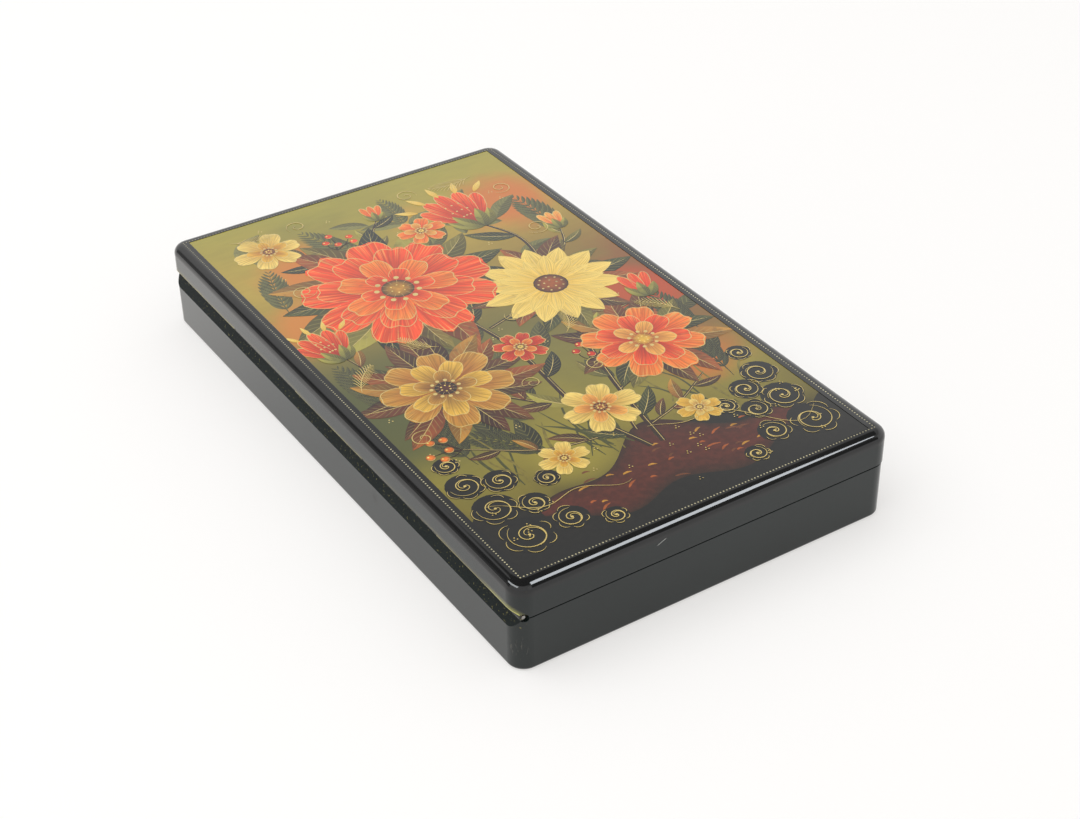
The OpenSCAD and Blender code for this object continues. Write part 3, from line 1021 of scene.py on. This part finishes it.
def draw_background(art):
    """Soft foliage behind the flowers: broad shadowy leaves, then ferns and long grasses."""
    rng = art.rng
    for k in range(44):
        x, y = art.stray(47), rng.uniform(-58, 80)
        near = (y + 60) / 150
        colour = blend_colour((0.030, 0.032, 0.012), (0.19, 0.18, 0.05), near + art.stray(0.08))
        angle = 90 + art.stray(75)
        size = rng.uniform(10, 19)
        art.leaf((x, y), angle, size, size * 0.36, tuple(colour), 3.05 + 0.02 * k, art.stray(40))
    for x, y, angle, length, bend in (
        (-40, -52, 100, 30, -25),
        (-22, -60, 112, 26, 30),
        (40, -56, 82, 30, 24),
        (47, -34, 96, 26, -14),
        (-48, -20, 84, 28, 18),
        (-10, 58, 128, 26, -20),
        (44, 34, 80, 30, 22),
        (6, 66, 76, 20, 20),
        (-47, 40, 84, 26, -12),
    ):
        tone = blend_colour((0.030, 0.034, 0.013), (0.12, 0.12, 0.034), (y + 60) / 140)
        fern(art, (x, y), angle, length, tuple(tone), 4.0, bend)
    for k in range(30):
        x = rng.uniform(-38, 42)
        root = (x, -66 + rng.uniform(-2, 4))
        tip = (x + art.stray(13), -66 + rng.uniform(12, 34))
        mid = ((root[0] + tip[0]) / 2 + art.stray(3), (root[1] + tip[1]) / 2 + 2)
        tone = MOSS if k % 3 else OLIVE
        art.line(art.smooth([root, mid, tip], 8), rng.uniform(0.5, 1.1), tone, 5.6 + 0.06 * k)


# Stems: points, width, and the leaves on them as leaves_along takes them
STEMS = (
    (((2, -70), (-4, -46), (-3, -8), (-12, 34)), 1.7, ((0.12, 0.24, 0.38, 0.52, 0.66, 0.8), 15, GREENS, 12)),
    (
        ((6, -70), (11, -40), (20, -4), (32, 36), (27, 56)),
        1.6,
        ((0.12, 0.28, 0.42, 0.58, 0.7, 0.84), 15, GREENS, 14, -1),
    ),
    (((-4, -44), (-14, -34), (-26, -18)), 1.2, ((0.3, 0.55, 0.75, 0.9), 13, BROWNS, 16)),
    (((10, -44), (22, -38), (31, -24)), 1.2, ((0.25, 0.5, 0.8), 12, GREENS, 16.05)),
    (((-3, 2), (9, 6), (22, 14)), 1.1, ((0.3, 0.6), 12, GREENS, 16.1, -1)),
    (((-13, 40), (-24, 58), (-35, 71)), 1.1, ((0.2, 0.42, 0.62, 0.8), 12, GREENS[1:], 16.15)),
    (((3, -62), (5, -52), (2, -44)), 1.0, None),
    (((-10, 52), (-6, 66), (1, 76)), 1.0, ((0.3, 0.55, 0.8), 9, GREENS[1:], 16.2, -1)),
    (((30, 20), (41, 30), (46, 40)), 0.9, ((0.35, 0.6, 0.85), 9, GREENS, 16.25)),
    (((-26, -10), (-40, -2), (-45, 12)), 0.9, ((0.3, 0.55, 0.8), 10, BROWNS, 17.6, -1)),
    (((8, -62), (20, -58), (34, -50)), 0.9, ((0.2, 0.4, 0.6, 0.8), 11, BROWNS, 17.65)),
    (((-4, -60), (-22, -56), (-40, -44)), 0.9, ((0.2, 0.4, 0.6, 0.8), 10, BROWNS + GREENS, 17.7, -1)),
    (((20, -4), (33, -9), (45, -8)), 0.9, None),
)

# Rings of leaves behind the larger flowers: middle, reach, number and colours
LEAF_RINGS = (
    ((-14, 36), 39, 15, GREENS + BROWNS[1:3]),
    ((30, -27), 26, 12, GREENS[:2] + BROWNS),
    ((-29, -17), 29, 17, BROWNS),
    ((25, 13), 28, 12, GREENS[:2] + BROWNS[:2]),
)

# The rings of the three largest flowers: petals, share of the radius, spread, inner and outer colour, notch
RED_RINGS = (
    (9, 1.00, 27, SCARLET, VERMILION, 0.10),
    (8, 0.80, 27, DEEP_RED, VERMILION, 0.10),
    (7, 0.60, 28, SCARLET, ORANGE, 0.08),
    (6, 0.40, 30, DEEP_RED, VERMILION, 0.05),
)
CORAL_RINGS = (
    (8, 1.00, 27, SCARLET, ORANGE, 0.08),
    (7, 0.74, 28, DEEP_RED, VERMILION, 0.06),
    (5, 0.48, 32, RUST, PEACH, 0.0),
)
BROWN_RINGS = (
    (8, 1.00, 27, RUST, OCHRE, 0.06),
    (7, 0.72, 28, BROWN, YELLOW, 0.06),
    (5, 0.46, 32, MAROON, OCHRE, 0.0),
)


def draw_flowers(art):
    paths = [stem(art, points, width) for points, width, _ in STEMS]
    for path, (_, _, leaves) in zip(paths, STEMS):
        if leaves:
            leaves_along(art, path, *leaves)
    for group, (middle, reach, count, colours) in enumerate(LEAF_RINGS):
        for k in range(count):
            angle = 360 * k / count + art.stray(8)
            low, high = colours[k % len(colours)]
            size = reach * art.rng.uniform(0.84, 1.06)
            start = around(middle, angle, reach * 0.3)
            lift = 18 + 1.2 * group + 0.05 * k
            bend = art.stray(30)
            spine = art.leaf(start, angle, size * 0.72, size * 0.26, low, lift, bend, tip=high)
            art.gilt(spine[3:13], 0.2, lift + 0.15)
    daisy(art, (25, 13), 22, (YELLOW, CREAM), (RUST, UMBER), 23)
    bloom(art, (-14, 36), 31, RED_RINGS, (OCHRE, UMBER), 30)
    bloom(art, (30, -27), 19.5, CORAL_RINGS, (YELLOW, RUST), 30, turn=12)
    bloom(art, (-29, -17), 19.5, BROWN_RINGS, (MAROON, INK), 30, turn=30)
    small_bloom(art, (-36, 77), 11.5, (OCHRE, CREAM), (RUST, YELLOW), RUST, 30)
    small_bloom(art, (1, -48), 12.5, (OCHRE, CREAM), (RUST, PEACH), RUST, 30)
    tulip(art, (27, 54), 97, 25, 30)
    bud(art, (1, 75), 80, 10, ORANGE, 30)
    bud(art, (46, 39), 84, 11, PEACH, 30)
    tulip(art, (-45, 11), 98, 18, 40)
    bud(art, (45, -9), 80, 14, VERMILION, 40)
    small_bloom(art, (9, 62), 8.5, (SCARLET, ORANGE), (RUST, PEACH), OCHRE, 46)
    small_bloom(art, (-1, -11), 8.5, (DEEP_RED, SCARLET), (RUST, ORANGE), OCHRE, 46, petals=7, spread=30)
    small_bloom(art, (-20, -62), 7.5, (OCHRE, CREAM), (RUST, YELLOW), RUST, 40)
    small_bloom(art, (23, -63), 7.0, (OCHRE, YELLOW), (RUST, CREAM), RUST, 40)
    berries(art, (12, -28), 60, 26, (SCARLET, DEEP_RED), 1.3)
    berries(art, (-40, -44), 150, 26, (ORANGE, RUST), 1.3)
    berries(art, (-18, 66), 60, 26, (VERMILION, SCARLET), 1.2)


def draw_gilding(art):
    """Loose gold tendrils and sprigs in the open ground."""
    for x, y, radius, start, turns in (
        (40, 44, 4.2, 200, 1.5),
        (-38, 50, 4.0, -20, -1.5),
        (-46, -34, 3.6, 30, 1.4),
        (12, -30, 3.4, 10, 1.4),
        (-8, -28, 3.0, 190, -1.3),
        (16, 84, 3.6, -30, 1.4),
        (-22, 86, 3.4, 210, -1.3),
        (44, 72, 3.6, 220, 1.4),
        (6, 4, 2.6, 120, 1.3),
    ):
        art.spiral((x, y), start, radius, turns, 0.28)
    for x, y, angle, length, bend in (
        (40, 84, 200, 15, -40),
        (-44, 88, -30, 14, 40),
        (48, -20, 110, 13, 40),
        (-49, -6, 70, 13, -40),
        (14, -12, 40, 12, 50),
        (-20, 2, 150, 12, -50),
    ):
        fern(art, (x, y), angle, length, GOLD, GILT_COAT, bend, gilt=True)
    for _ in range(30):
        art.dots((art.stray(50), art.rng.uniform(-55, 91)), 0.22, 0.62, coat=8.0)


def add_painting():
    art = Painting(seed=11)
    for draw in (draw_ground, draw_mound, draw_background, draw_flowers, draw_gilding):
        draw(art)
    painting = add_object("lid_painting", art.mesh("lid_painting"))
    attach(painting, "lid")
    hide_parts("painted_layer")


def dress(name, material):
    data = nodes[name].data
    data.materials.clear()
    data.materials.append(material)


def dress_all():
    dress("bottom_board", bottom_lacquer())
    dress("base_wall", base_wall_lacquer())
    dress("inner_rim", red_lacquer())
    dress("lid_wall", lid_wall_lacquer())
    dress("lid_board", lid_board_lacquer())
    brass = knuckle_brass()
    for name in nodes:
        if "knuckle" in name:
            dress(name, brass)
    dress("hinge_wire", hinge_steel())


add_camera()
add_world()
add_floor()
# The soft box and the window of the photo, which gloss sees, and a wide lamp that lights evenly
add_lamp(
    "soft_box",
    1.1 * direction(142, 47.2),
    (0.478, 0.487),
    12.5,
    (0.94, 0.99, 1.04),
    for_gloss=True,
    aim=(0.713, -0.312, -0.631),
    roll=71.104,
)
add_lamp("window", 1.1 * direction(-87, 37), (1.35, 0.27), 8.0, (0.93, 0.97, 1.0), for_gloss=True)
add_lamp("wide_lamp", 1.5 * direction(-70, 62), (1.5, 1.5), 1.3, (1, 1, 1), for_gloss=False)
dress_all()
add_painting()
bpy.context.scene.view_settings.view_transform = "Standard"
